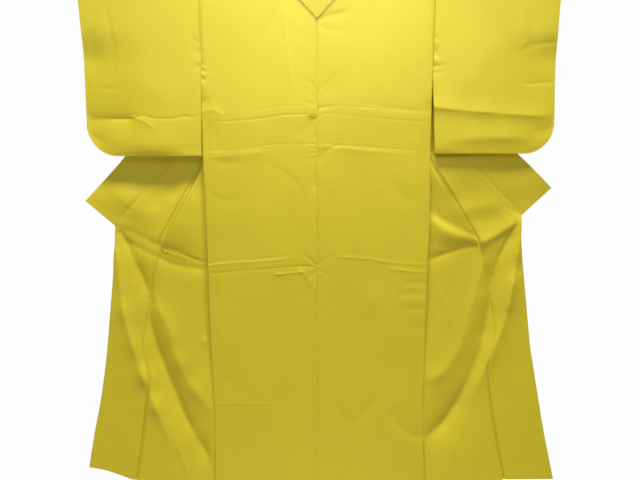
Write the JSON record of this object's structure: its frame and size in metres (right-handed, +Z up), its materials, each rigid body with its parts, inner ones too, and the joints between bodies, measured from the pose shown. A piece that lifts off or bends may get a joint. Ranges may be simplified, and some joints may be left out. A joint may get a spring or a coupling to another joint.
{
  "type": "kimono on a hanging rod",
  "caption": "Plain silk kimono seen from the back, hung flat on a round rod with a wire hook, with its fronts drawn out to the sides.",
  "frame": {"origin": "inner crown of the hook, the point that bears on what the rod hangs from", "axes": "+Z up, -Y out of the kimono's back, +X towards the wearer's right sleeve"},
  "size_m": [1.4, 0.0417, 1.5355],
  "materials": {
    "silk": "plain woven silk with a soft sheen, mustard gold",
    "rod_wood": "pale wood, satin lacquer",
    "hook_steel": "plated wire"
  },
  "bodies": {
    "root": {"back_left": "silk", "back_right": "silk", "front_left": "silk", "front_right": "silk", "overlap_left": "silk", "overlap_right": "silk", "sleeve_left": "silk", "sleeve_right": "silk", "collar": "silk", "rod": "rod_wood", "hook": "hook_steel"}
  },
  "joints": []
}
